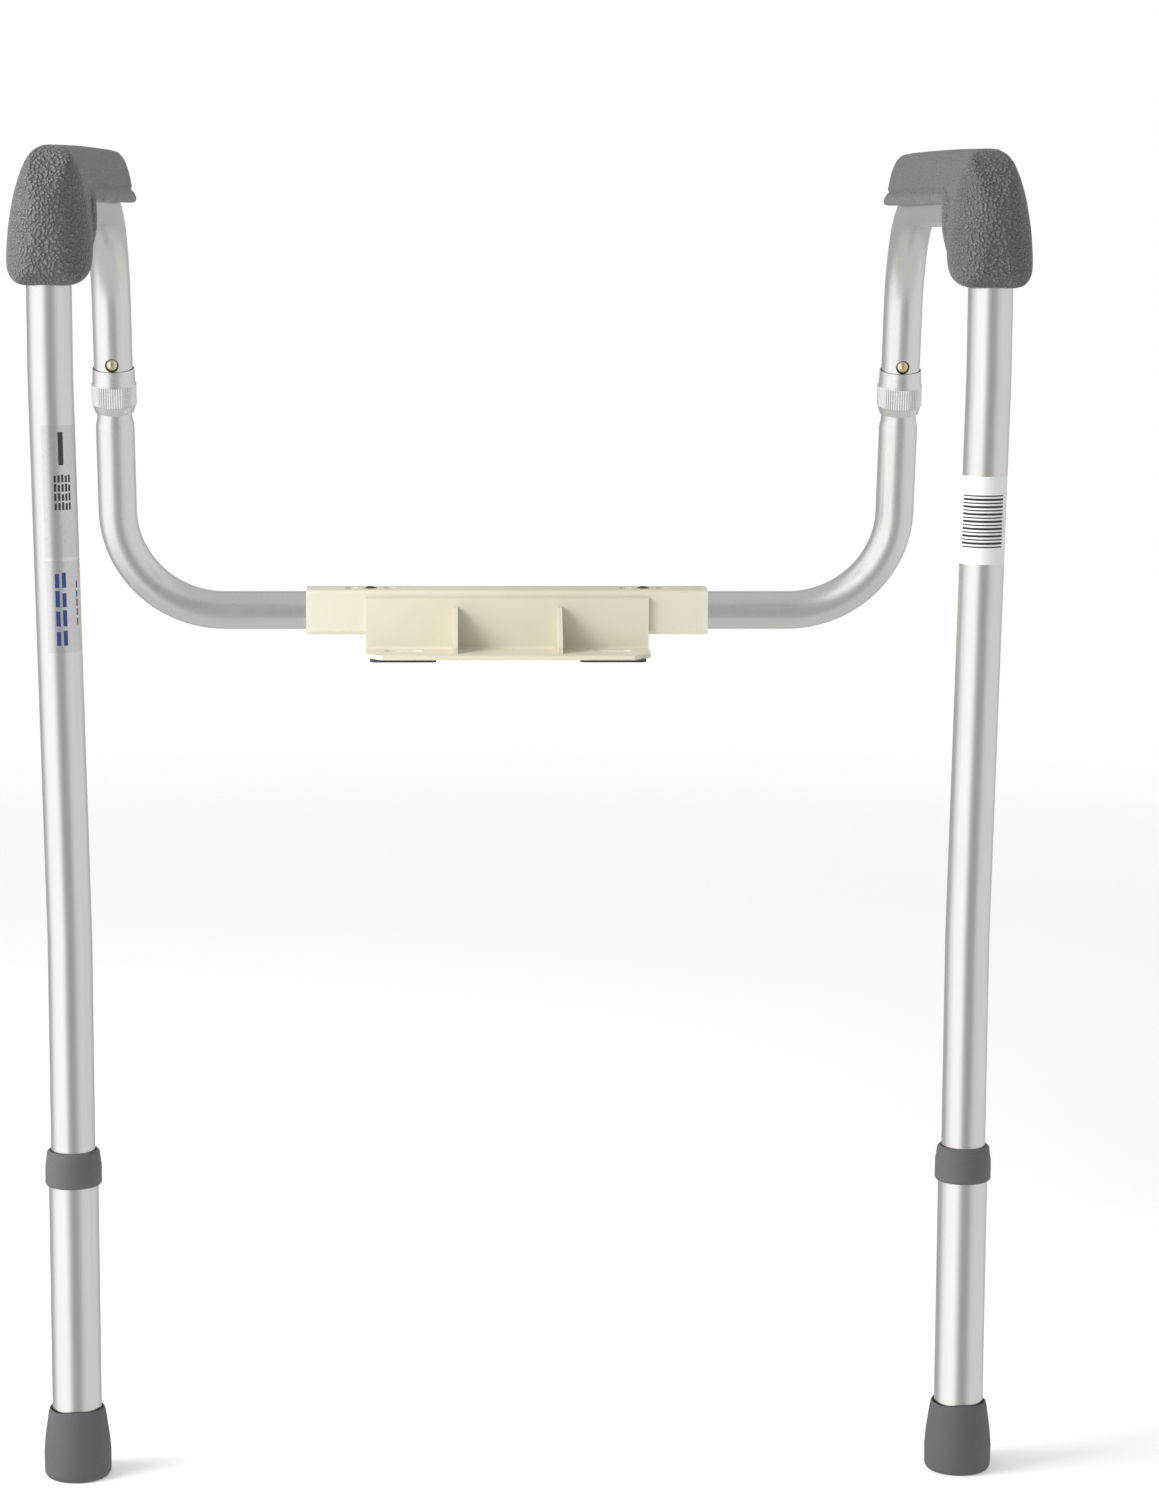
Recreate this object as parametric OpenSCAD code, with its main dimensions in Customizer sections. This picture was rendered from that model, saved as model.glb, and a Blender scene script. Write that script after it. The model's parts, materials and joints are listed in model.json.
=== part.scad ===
// Toilet safety frame: two bent tube arms that plug into a bracket held by the seat bolts.
// Millimetres, +Z up, +X to the user's left, -Y towards the user, +Y towards the cistern.
// The origin is the centre of the seat bolt pattern, on the underside of the bracket plate.

/* [Tubes] */
// Outside diameter of the arm and lower tubes
tube_d = 25.4; // [25:0.1:26]
// Wall thickness of the arm and lower tubes
tube_wall = 1.2; // [1:0.1:1.6]
// Wall thickness of the leg extension, which slides over the arm tube
extension_wall = 1.5; // [1.2:0.1:2]
// Radial running clearance between parts that slide or turn
running_gap = 0.08; // [0.03:0.01:0.1]

/* [Arms] */
// Half the distance between the axes of the two rear uprights
rear_x = 260; // [250:1:275]
// Half the distance between the front legs at the floor
leg_x = 258; // [250:1:270]
// Half the distance between the front legs at the armrests
leg_top_x = 264; // [258:1:272]
// How far the front legs stand in front of the seat bolts
leg_forward = 390; // [370:1:410]
// Forward lean of the rear upright, in degrees
upright_lean = 12; // [6:1:16]
// Height of the handle's axis at the front bend, above the origin
handle_front_z = 306; // [296:1:316]
// Drop of the handle from front to back, in degrees
handle_drop = 1.3; // [0:0.1:2.5]
// Bend radius behind the armrest, on the tube's axis
rear_bend_r = 85; // [70:1:90]
// Bend radius under the front of the armrest, on the tube's axis
front_bend_r = 38; // [32:1:42]
// Height of the bend where the front leg turns upright again
leg_kink_z = -113; // [-118:1:-100]
// Height at which the front leg becomes upright below the armrest
leg_straight_z = 208; // [190:1:220]

/* [Lower tubes and bracket] */
// Height of the lower tube's axis above the bracket's underside
cross_z = 27; // [26:1:32]
// Distance of the lower tube's axis behind the seat bolts
cross_y = 30; // [30:1:36]
// Bend radius of the lower tube, on its axis
lower_bend_r = 70; // [60:1:76]
// Where the lower tube ends inside the bracket, from the middle
lower_end_x = 60; // [58:1:64]
// Width of the bracket's cross tube
bracket_w = 264; // [260:1:270]
// Outside size of the bracket's square cross tube
bracket_tube_size = 30; // [30:0.5:31]
// Distance between the two seat bolts
bolt_spacing = 139.7; // [135:0.1:145]
// Width of each bolt slot
slot_w = 11; // [9:0.5:12]
// Length of each bolt slot
slot_l = 26; // [20:1:30]
// Thickness of the bracket plate
plate_t = 3; // [2.5:0.5:4]

/* [Armrests] */
// Height of the armrest's top above the handle's axis
pad_rise = 30; // [26:0.5:34]
// Width of the armrest at its widest
pad_w = 50; // [44:1:54]
// Height of the front knuckle, from top to bottom
knuckle_h = 77.5; // [70:0.5:84]
// How far the armrest reaches behind the front leg
pad_reach = 305; // [280:5:310]
// Fall of the armrest's arched top from front to back
pad_top_fall = 3.5; // [1:0.5:6]
// Fall of the armrest's underside from front to back
pad_under_fall = 4.2; // [3:0.1:6]

/* [Legs] */
// Height of the floor, below the origin
floor_z = -432; // [-440:1:-426]
// Height of the rubber foot
foot_h = 41; // [38:1:46]
// Diameter of the foot where it stands on the floor
foot_d = 39; // [36:1:44]
// Height of the snap button in the leg, above the floor
leg_button_h = 155; // [154:1:157]
// Distance between the leg's height holes
leg_pitch = 25.4; // [24:0.1:25.4]
// Number of height holes in the leg extension
leg_holes = 5; // [2:1:5]
// Top of the grey collar on the leg extension, above the floor
leg_collar_top = 195; // [192:1:200]
// Height of the grey collar on the leg extension
leg_collar_h = 20.5; // [18:0.5:24]

/* [Snap buttons] */
// Diameter of each snap button
button_d = 8.6; // [7:0.1:9]
// Travel of the armrest tube's snap button
button_travel = 3.8; // [3.6:0.1:4]
// Distance between the three width holes in the bracket
width_pitch = 12.7; // [11:0.1:13]
// Number of grooves in the knurl of the lock collar
knurl_count = 56; // [30:1:64]

/* [Hidden] */
$fn = 64;

tube_r = tube_d / 2;
bore_r = tube_r - tube_wall;
neck_r = bore_r - running_gap;
extension_bore_r = tube_r + running_gap;
extension_r = extension_bore_r + extension_wall;
button_r = button_d / 2;
button_hole_r = button_r + 0.2;

// The rear upright runs from the lower tube's corner along this direction.
corner = [rear_x, cross_y, cross_z];
upright_dir = [0, -sin(upright_lean), cos(upright_lean)];

// Places along the upright, measured from the corner
neck_start = 128;
neck_full = 136;
collar_start = 138.5;
collar_end = 168.2;
arm_tube_start = 146;
arm_button_at = 172.8;
neck_end = 200;

// The handle runs from the front bend back to the upright.
front_corner = [leg_top_x, -leg_forward, handle_front_z];
handle_y = (cross_y + leg_forward - (handle_front_z - cross_z) * tan(upright_lean))
    / (1 - tan(handle_drop) * tan(upright_lean)) - leg_forward;
handle_z = handle_front_z - (handle_y + leg_forward) * tan(handle_drop);
rear_corner = [rear_x, handle_y, handle_z];

// How far the straights lap over a bend, and how much thinner a bend is
bend_lap = 0.2;
bend_thinning = 0.02;

// Slight bends in the front leg
kink_r = 200;
arm_tube_end_z = floor_z + leg_button_h - 20;
leg_button_z = floor_z + leg_button_h;

arm_path = [
    corner + arm_tube_start * upright_dir,
    rear_corner,
    front_corner,
    [leg_top_x, -leg_forward, leg_straight_z],
    [leg_x, -leg_forward, leg_kink_z],
    [leg_x, -leg_forward, arm_tube_end_z]
];
arm_bends = [0, rear_bend_r, front_bend_r, kink_r, kink_r, 0];
lower_path = [
    [lower_end_x, cross_y, cross_z],
    corner,
    corner + neck_start * upright_dir
];
lower_bends = [0, lower_bend_r, 0];

// Bracket
bracket_tube_wall = 1.5;
bush_size = bracket_tube_size - 2 * bracket_tube_wall;
bush_start = 66;
bush_flange = 3;
width_button_x = 92;
flange_y = cross_y - bracket_tube_size / 2;
plate_front_y = -26;
plate_half_w = 95;

// Leg extension
washer_t = 1.6;
foot_floor_t = 6;
extension_end_z = floor_z + foot_floor_t + washer_t;
extension_top_z = floor_z + leg_collar_top - 3;

// Snap clip strip
strip_w = 6;
strip_t = 0.7;
strip_length = 30;
// How far the spring's rear leg stands from the axis, in the tubes and in the narrower neck
tube_strip_back = 10.4;
neck_strip_back = 9.3;

// ---- Helpers ----

function unit(v) = v / norm(v);
function turn_of(a, b) = acos(min(1, a * b));

// Points of an arc from one angle to another
function arc(centre, r, from, to, steps = 8) =
    [for (i = [0:steps]) centre + r * [cos(from + (to - from) * i / steps), sin(from + (to - from) * i / steps)]];

// A closed outline from the points of its right half, in order, and their mirror images
function both_sides(points) =
    concat(points, [for (i = [len(points) - 1:-1:0]) if (points[i][0] > 0) [-points[i][0], points[i][1]]]);

// Draws the +X side as it is, and the -X side as its mirror image.
module on_side(side) {
    if (side > 0) children();
    else mirror([1, 0, 0]) children();
}

// Puts local X, Y and Z along the given directions, with the local origin at p.
module place(p, x, y, z) {
    multmatrix([
        [x[0], y[0], z[0], p[0]],
        [x[1], y[1], z[1], p[1]],
        [x[2], y[2], z[2], p[2]],
        [0, 0, 0, 1]
    ]) children();
}

// A tube along a path of points, with a round bend of its own radius at each inner point.
// A bore of 0 makes a solid rod. The straights lap over the ends of the bends, which are a hair
// thinner, so that each joint is a sound union.
module bent_tube(points, bends, r, bore = 0) {
    last = len(points) - 1;
    dirs = [for (i = [0:last - 1]) unit(points[i + 1] - points[i])];
    trims = [for (i = [0:last]) (i == 0 || i == last) ? 0 : bends[i] * tan(turn_of(dirs[i - 1], dirs[i]) / 2)];
    for (i = [0:last - 1]) {
        d = dirs[i];
        side = unit(cross(abs(d[0]) < 0.9 ? [1, 0, 0] : [0, 1, 0], d));
        start_lap = i == 0 ? 0 : bend_lap;
        end_lap = i == last - 1 ? 0 : bend_lap;
        length = norm(points[i + 1] - points[i]) - trims[i] - trims[i + 1];
        place(points[i] + (trims[i] - start_lap) * d, cross(side, d), side, d)
            linear_extrude(length + start_lap + end_lap)
                ring(r, bore);
    }
    for (i = [1:last - 1]) {
        a = dirs[i - 1];
        b = dirs[i];
        inward = unit(b - a * (a * b));
        centre = points[i] - trims[i] * a + bends[i] * inward;
        place(centre, -inward, a, cross(-inward, a))
            rotate_extrude(angle = turn_of(a, b))
                translate([bends[i], 0])
                    ring(r - bend_thinning, bore > 0 ? bore + bend_thinning : 0);
    }
}

// A flat ring, or a disc where the bore is 0
module ring(r, bore) {
    difference() {
        circle(r = r);
        if (bore > 0) circle(r = bore);
    }
}

// Local frame on the upright's axis: Z up the tube and Y to the back
module on_upright(u) {
    translate(corner) rotate([upright_lean, 0, 0]) translate([0, 0, u]) children();
}

// A revolved ring from [radius, height] points
module revolved(points) {
    rotate_extrude() polygon(points);
}

// A square with rounded corners
module rounded_square(size, r) {
    x = size[0] / 2 - r;
    y = size[1] / 2 - r;
    polygon([
        each arc([x, y], r, 0, 90),
        each arc([-x, y], r, 90, 180),
        each arc([-x, -y], r, 180, 270),
        each arc([x, -y], r, 270, 360)
    ]);
}

// A slot along X
module slot(length, width, h) {
    half = (length - width) / 2;
    for (s = [-1, 1]) translate([s * half, 0, 0]) cylinder(d = width, h = h);
    translate([-half, -width / 2, 0]) cube([2 * half, width, h]);
}

// The outline of a bent strip of thickness t along a path of points, with mitred corners
function ribbon(points, t) =
    let (
        last = len(points) - 1,
        normals = [for (i = [0:last - 1]) let (d = unit(points[i + 1] - points[i])) [-d[1], d[0]]],
        mitres = [for (i = [0:last])
            let (a = normals[max(i - 1, 0)], m = unit(a + normals[min(i, last - 1)])) m * t / 2 / (m * a)]
    )
    concat(
        [for (i = [0:last]) points[i] + mitres[i]],
        [for (i = [last:-1:0]) points[i] - mitres[i]]
    );

// The V spring of a snap button. X runs along the tube and Z towards the button. One leg reaches the
// button at height button_base, and the other bears on the far wall at height -back.
module snap_strip(button_base, back) {
    path = [
        [5, button_base],
        [1.5 - strip_length, -3.5],
        [-strip_length, -5],
        [6 - strip_length, -back],
        [2, -back]
    ];
    rotate([90, 0, 0]) translate([0, 0, -strip_w / 2]) linear_extrude(strip_w) polygon(ribbon(path, strip_t));
}

// A domed button that stands on Z. The dome starts at height shoulder and ends at height top.
module button_dome(base, shoulder, top) {
    rise = top - shoulder;
    dome_r = (button_r * button_r + rise * rise) / (2 * rise);
    edge = asin(button_r / dome_r);
    revolved([
        [0, base],
        [button_r, base],
        each arc([0, top - dome_r], dome_r, 90 - edge, 90, 8)
    ]);
}

// ---- Bracket ----

module bracket_plate() {
    bend_r = 5;
    color("ivory") difference() {
        rotate([90, 0, 90]) translate([0, 0, -plate_half_w]) linear_extrude(2 * plate_half_w) polygon([
            [plate_front_y, 0],
            each arc([flange_y - bend_r, bend_r], bend_r, -90, 0),
            [flange_y, cross_z + 10],
            [flange_y - plate_t, cross_z + 10],
            each arc([flange_y - bend_r, bend_r], bend_r - plate_t, 0, -90),
            [plate_front_y, plate_t]
        ]);
        for (s = [-1, 1]) translate([s * bolt_spacing / 2, 0, -1]) slot(slot_l, slot_w, plate_t + 2);
        // clipped front corners
        for (s = [-1, 1]) translate([s * plate_half_w, plate_front_y, -1]) rotate(45) cube([16, 16, 3 * plate_t], center = true);
    }
}

module bracket_tube() {
    color("ivory") translate([0, cross_y, cross_z]) difference() {
        rotate([90, 0, 90]) translate([0, 0, -bracket_w / 2]) linear_extrude(bracket_w) difference() {
            rounded_square([bracket_tube_size, bracket_tube_size], 3);
            rounded_square([bush_size, bush_size], 1.5);
        }
        for (s = [-1, 1], n = [-1:1])
            translate([s * (width_button_x + n * width_pitch), 0, 5]) cylinder(r = button_hole_r, h = bracket_tube_size);
    }
}

module bracket_gussets() {
    gusset_t = 3;
    gusset_x = 35;
    color("ivory") for (s = [-1, 1])
        translate([s * gusset_x - gusset_t / 2, 0, 0]) rotate([90, 0, 90]) linear_extrude(gusset_t) polygon([
            [flange_y - plate_t - 28, plate_t],
            [flange_y - plate_t - 3, plate_t],
            [flange_y - plate_t, plate_t + 3],
            [flange_y - plate_t, plate_t + 28],
            [flange_y - plate_t - 4, plate_t + 28],
            [flange_y - plate_t - 28, plate_t + 4]
        ]);
}

module bracket_pads() {
    pad_t = 2;
    color("dimgray") for (s = [-1, 1])
        translate([s * bolt_spacing / 2, -6, -pad_t]) difference() {
            linear_extrude(pad_t) rounded_square([44, 32], 4);
            translate([0, 6, -1]) slot(slot_l + 4, slot_w + 4, pad_t + 2);
        }
}

module bush(side) {
    end = bracket_w / 2;
    color("antiquewhite") on_side(side) translate([0, cross_y, cross_z]) difference() {
        rotate([90, 0, 90]) {
            translate([0, 0, bush_start]) linear_extrude(end - bush_start) rounded_square([bush_size, bush_size], 1.5);
            translate([0, 0, end]) linear_extrude(bush_flange)
                rounded_square([bracket_tube_size, bracket_tube_size], 3);
        }
        translate([bush_start - 1, 0, 0]) rotate([0, 90, 0])
            cylinder(r = tube_r + running_gap, h = end - bush_start + bush_flange + 2);
        for (n = [-1:1])
            translate([width_button_x + n * width_pitch, 0, 5]) cylinder(r = button_hole_r, h = bush_size);
    }
}

// ---- Lower tubes ----

module j_tube(side) {
    neck_bore_r = neck_r - tube_wall;
    steps = 8;
    // the swage eases from the tube's radius to the neck's along half a cosine wave
    fall = [for (i = [0:steps]) [(1 - cos(180 * i / steps)) / 2, neck_start + (neck_full - neck_start) * i / steps]];
    outside = tube_r - bend_thinning;
    inside = bore_r + bend_thinning;
    color("lightgray") on_side(side) difference() {
        union() {
            bent_tube(lower_path, lower_bends, tube_r, bore_r);
            on_upright(0) revolved([
                [inside, neck_start - bend_lap],
                [outside, neck_start - bend_lap],
                for (p = fall) [outside + (neck_r - outside) * p[0], p[1]],
                [neck_r, neck_end],
                [neck_bore_r, neck_end],
                for (i = [steps:-1:0]) [inside + (neck_bore_r - inside) * fall[i][0], fall[i][1]]
            ]);
        }
        on_upright(arm_button_at) rotate([90, 0, 0]) cylinder(r = button_hole_r, h = 2 * tube_r);
        translate([width_button_x, cross_y, cross_z]) cylinder(r = button_hole_r, h = 2 * tube_r);
    }
}

module width_clip(side) {
    base = 8;
    color("goldenrod") on_side(side) translate([width_button_x, cross_y, cross_z]) {
        snap_strip(base - strip_t / 2, tube_strip_back);
        button_dome(base - strip_t / 2, tube_r + 2.3, tube_r + 3.6);
    }
}

// ---- Joint between the lower tube and the arm ----

// Local frame of the arm's snap button: Z points out of the tube to the front.
module on_arm_button() {
    on_upright(arm_button_at) rotate([90, 0, 0]) children();
}

module arm_button(side) {
    flange_r = 5.2;
    flange_t = 0.8;
    base = 7.6;
    color("goldenrod") on_side(side) on_arm_button() {
        translate([0, 0, base]) cylinder(r = flange_r, h = flange_t);
        button_dome(base, tube_r, bore_r + button_travel);
    }
}

module arm_spring(side) {
    color("silver") on_side(side) on_arm_button() rotate([0, 0, 90]) snap_strip(7.2, neck_strip_back);
}

module lock_ring(side) {
    color("whitesmoke") on_side(side) on_upright(0) revolved([
        [neck_r + running_gap, collar_start + 3],
        [tube_r - 0.4, collar_start + 3],
        [tube_r - 0.4, arm_tube_start - 0.6],
        [neck_r + 0.6, arm_tube_start - 0.2],
        [neck_r + running_gap, arm_tube_start - 0.2]
    ]);
}

module lock_collar(side) {
    knurl_r = 14.75;
    knurl_depth = 0.35;
    core_r = knurl_r - knurl_depth - 0.05;
    band_r = 13.6;
    lip_r = 14.1;
    band_from = collar_start + 5.5;
    band_to = collar_start + 19;
    band_inset = 0.2;
    color("gainsboro") on_side(side) on_upright(0) {
        revolved([
            [neck_r + running_gap, collar_start],
            [12.6, collar_start],
            [core_r, band_from],
            [core_r, band_to],
            [band_r, band_to + 1.4],
            [band_r, collar_end - 3],
            [lip_r, collar_end - 2.2],
            [lip_r, collar_end - 0.5],
            [lip_r - 0.5, collar_end],
            [tube_r + running_gap, collar_end],
            [tube_r + running_gap, collar_start + 2.8],
            [neck_r + running_gap, collar_start + 2.8]
        ]);
        translate([0, 0, band_from + band_inset]) linear_extrude(band_to - band_from - 2 * band_inset) difference() {
            polygon([
                for (i = [0:2 * knurl_count - 1])
                    let (r = i % 2 == 0 ? knurl_r : knurl_r - knurl_depth, a = i * 180 / knurl_count)
                        r * [cos(a), sin(a)]
            ]);
            circle(r = core_r - 0.5);
        }
    }
}

// ---- Arms ----

module arm_tube(side) {
    color("lightgray") on_side(side) difference() {
        bent_tube(arm_path, arm_bends, tube_r, bore_r);
        on_arm_button() cylinder(r = button_hole_r, h = 2 * tube_r);
        translate([leg_x, -leg_forward, leg_button_z]) rotate([-90, 0, 0]) cylinder(r = button_hole_r, h = 2 * tube_r);
    }
}

// Half outline of the armrest seen from the front: width against depth below the top
module pad_front_outline() {
    half = pad_w / 2;
    top = handle_front_z + pad_rise;
    corner_r = 13;
    crown = [[0, 0], [7, 0.5], [12, 3], [16, 8], [19, 16], [21.5, 27], [24, 45], [half, 60]];
    low = [half, corner_r - knuckle_h];
    right = [for (p = crown) [p[0] * half / 25, -p[1]]];
    bottom = arc([half - corner_r, corner_r - knuckle_h], corner_r, 0, -90);
    translate([0, top]) polygon(both_sides(concat(right, [low], bottom)));
}

// Outline of the armrest seen from the side: X to the back from the front leg, Y up
module pad_side_outline() {
    front = -tube_r - 11;
    back = tube_r + 9;
    top = handle_front_z + pad_rise;
    bottom = top - knuckle_h;
    crown_r = 34;
    arch_r = pow(pad_reach, 2) / 2 / pad_top_fall;
    fillet_r = 23;
    end_r = 9;
    under = handle_front_z - 1.8;
    polygon([
        each arc([front + crown_r, top - crown_r], crown_r, 180, 90),
        each arc([0, top - arch_r], arch_r, 90 - asin(pad_reach / 8 / arch_r), 90 - asin(pad_reach * 7 / 8 / arch_r)),
        each arc([pad_reach - end_r, top - pad_top_fall - end_r], end_r, 90, 0),
        [pad_reach + 2, under - pad_under_fall],
        each arc([back + fillet_r, under - fillet_r], fillet_r, 90, 180),
        [back, bottom + 6],
        [back - 6, bottom],
        [front + 9, bottom],
        [front + 2, bottom + 8]
    ]);
}

// Outline of the armrest seen from above: X across, Y to the back from the front leg
module pad_plan_outline() {
    half = pad_w / 2;
    front = tube_r + 11;
    rear_half = 22;
    end_r = 7;
    right = concat(
        [for (a = [-90:10:0]) [half * cos(a), front * sin(a)]],
        [[half, 20]],
        arc([rear_half - end_r, pad_reach - end_r], end_r, 0, 90)
    );
    polygon(both_sides(right));
}

module armrest(side) {
    toe = atan((leg_top_x - rear_x) / (handle_y + leg_forward));
    reach = pad_reach + 10;
    color("dimgray") on_side(side) difference() {
        translate([leg_top_x, -leg_forward, 0]) rotate([0, 0, toe]) intersection() {
            translate([0, reach, 0]) rotate([90, 0, 0]) linear_extrude(reach + 60) pad_front_outline();
            rotate([90, 0, 90]) translate([0, 0, -pad_w]) linear_extrude(2 * pad_w) pad_side_outline();
            translate([0, 0, 200]) linear_extrude(200) pad_plan_outline();
        }
        bent_tube(arm_path, arm_bends, tube_r + running_gap);
    }
}

// ---- Legs ----

module leg_clip(side) {
    base = 8;
    color("goldenrod") on_side(side) translate([leg_x, -leg_forward, leg_button_z])
        rotate([-90, 0, 0]) rotate([0, 0, 90]) {
            snap_strip(base - strip_t / 2, tube_strip_back);
            button_dome(base - strip_t / 2, extension_r, extension_r + 1.5);
        }
}

module leg_extension(side) {
    color("lightgray") on_side(side) translate([leg_x, -leg_forward, 0]) difference() {
        translate([0, 0, extension_end_z]) cylinder(r = extension_r, h = extension_top_z - extension_end_z);
        translate([0, 0, extension_end_z - 1])
            cylinder(r = extension_bore_r, h = extension_top_z - extension_end_z + 2);
        for (n = [0:leg_holes - 1])
            translate([0, 0, leg_button_z - n * leg_pitch]) rotate([-90, 0, 0])
                cylinder(r = button_hole_r, h = 2 * tube_r);
    }
}

module leg_collar(side) {
    top = floor_z + leg_collar_top;
    bottom = top - leg_collar_h;
    low_r = 16.3;
    high_r = 15.5;
    color("dimgray") on_side(side) translate([leg_x, -leg_forward, 0]) revolved([
        [extension_r, bottom],
        [low_r - 1, bottom],
        [low_r, bottom + 1],
        [low_r, bottom + 12],
        [high_r, bottom + 15],
        [high_r, top - 2],
        [high_r - 2, top],
        [extension_bore_r, top],
        [extension_bore_r, extension_top_z],
        [extension_r, extension_top_z]
    ]);
}

module foot(side) {
    foot_r = foot_d / 2;
    rim_r = 16.3;
    tread_w = 2;
    tread_depth = 1.2;
    color("dimgray") on_side(side) translate([leg_x, -leg_forward, floor_z]) difference() {
        revolved([
            [0, 0],
            [foot_r - 2, 0],
            [foot_r - 0.6, 1.2],
            [foot_r - 0.3, 3],
            [foot_r, 14],
            [foot_r - 0.8, 23],
            [rim_r, foot_h - 1.5],
            [rim_r - 0.8, foot_h],
            [extension_r, foot_h],
            [extension_r, foot_floor_t],
            [0, foot_floor_t]
        ]);
        for (r = [7, 12]) rotate_extrude() translate([r, -1]) square([tread_w, 1 + tread_depth]);
    }
}

module foot_washer(side) {
    color("silver") on_side(side) translate([leg_x, -leg_forward, floor_z + foot_floor_t])
        difference() {
            cylinder(r = extension_r - 0.3, h = washer_t);
            translate([0, 0, -1]) cylinder(r = 5, h = washer_t + 2);
        }
}

// ---- The frame ----

bracket_plate();
bracket_tube();
bracket_gussets();
bracket_pads();
bush(-1);  // bush_left
bush(1);  // bush_right
j_tube(-1);  // j_tube_left
j_tube(1);  // j_tube_right
width_clip(-1);  // width_clip_left
width_clip(1);  // width_clip_right
arm_button(-1);  // arm_button_left
arm_button(1);  // arm_button_right
arm_spring(-1);  // arm_spring_left
arm_spring(1);  // arm_spring_right
lock_collar(-1);  // lock_collar_left
lock_collar(1);  // lock_collar_right
lock_ring(-1);  // lock_ring_left
lock_ring(1);  // lock_ring_right
arm_tube(-1);  // arm_tube_left
arm_tube(1);  // arm_tube_right
armrest(-1);  // armrest_left
armrest(1);  // armrest_right
leg_clip(-1);  // leg_clip_left
leg_clip(1);  // leg_clip_right
leg_extension(-1);  // leg_extension_left
leg_extension(1);  // leg_extension_right
leg_collar(-1);  // leg_collar_left
leg_collar(1);  // leg_collar_right
foot(-1);  // foot_left
foot(1);  // foot_right
foot_washer(-1);  // foot_washer_left
foot_washer(1);  // foot_washer_right
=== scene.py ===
import json
import math

import bpy
import numpy as np
from mathutils import Matrix, Vector

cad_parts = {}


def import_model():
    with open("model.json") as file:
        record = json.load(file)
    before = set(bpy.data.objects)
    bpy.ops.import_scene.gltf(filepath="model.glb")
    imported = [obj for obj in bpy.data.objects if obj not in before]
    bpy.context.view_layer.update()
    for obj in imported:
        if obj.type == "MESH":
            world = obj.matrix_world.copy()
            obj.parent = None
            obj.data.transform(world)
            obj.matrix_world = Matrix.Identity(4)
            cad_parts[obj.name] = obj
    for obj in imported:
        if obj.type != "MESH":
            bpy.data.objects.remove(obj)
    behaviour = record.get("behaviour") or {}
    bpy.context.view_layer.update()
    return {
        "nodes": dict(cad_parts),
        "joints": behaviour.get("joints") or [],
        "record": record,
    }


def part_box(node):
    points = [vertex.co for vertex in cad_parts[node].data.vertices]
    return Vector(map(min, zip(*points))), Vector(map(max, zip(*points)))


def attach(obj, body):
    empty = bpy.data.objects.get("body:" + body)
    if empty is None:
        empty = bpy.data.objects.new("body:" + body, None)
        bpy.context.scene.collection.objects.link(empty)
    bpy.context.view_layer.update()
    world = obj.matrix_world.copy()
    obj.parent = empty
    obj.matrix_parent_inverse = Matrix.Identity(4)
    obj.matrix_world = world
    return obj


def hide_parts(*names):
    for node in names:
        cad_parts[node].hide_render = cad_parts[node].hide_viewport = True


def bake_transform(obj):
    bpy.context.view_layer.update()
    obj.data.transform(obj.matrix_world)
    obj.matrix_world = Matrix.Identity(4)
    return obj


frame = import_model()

MM = 0.001
SIDES = {"left": -1, "right": 1}


# ---------------------------------------------------------------- places taken from the frame

def centre(node):
    low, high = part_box(node)
    return (low + high) / 2


def vertices_of(node):
    return np.array([v.co for v in frame["nodes"][node].data.vertices])


def smoothstep(x, start, end):
    t = np.clip((x - start) / (end - start), 0, 1)
    return t * t * (3 - 2 * t)


FLOOR_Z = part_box("foot_right")[0].z
LEG_Y = centre("leg_extension_right").y
TUBE_R = 12.7 * MM


def leg_axis(side):
    """Centres of the front leg's rings below the armrest, from low to high, as rows of x, y, z."""
    points = vertices_of(f"arm_tube_{side}")
    knuckle_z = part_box(f"armrest_{side}")[0].z
    points = points[(points[:, 1] < LEG_Y + 1.2 * TUBE_R) & (points[:, 2] < knuckle_z)]
    points = points[points[:, 2].argsort()]
    rings = np.split(points, np.flatnonzero(np.diff(points[:, 2]) > 1.5 * MM) + 1)
    return np.array([(ring.min(0) + ring.max(0)) / 2 for ring in rings if len(ring) > 20])


# ---------------------------------------------------------------- node helpers

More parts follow.
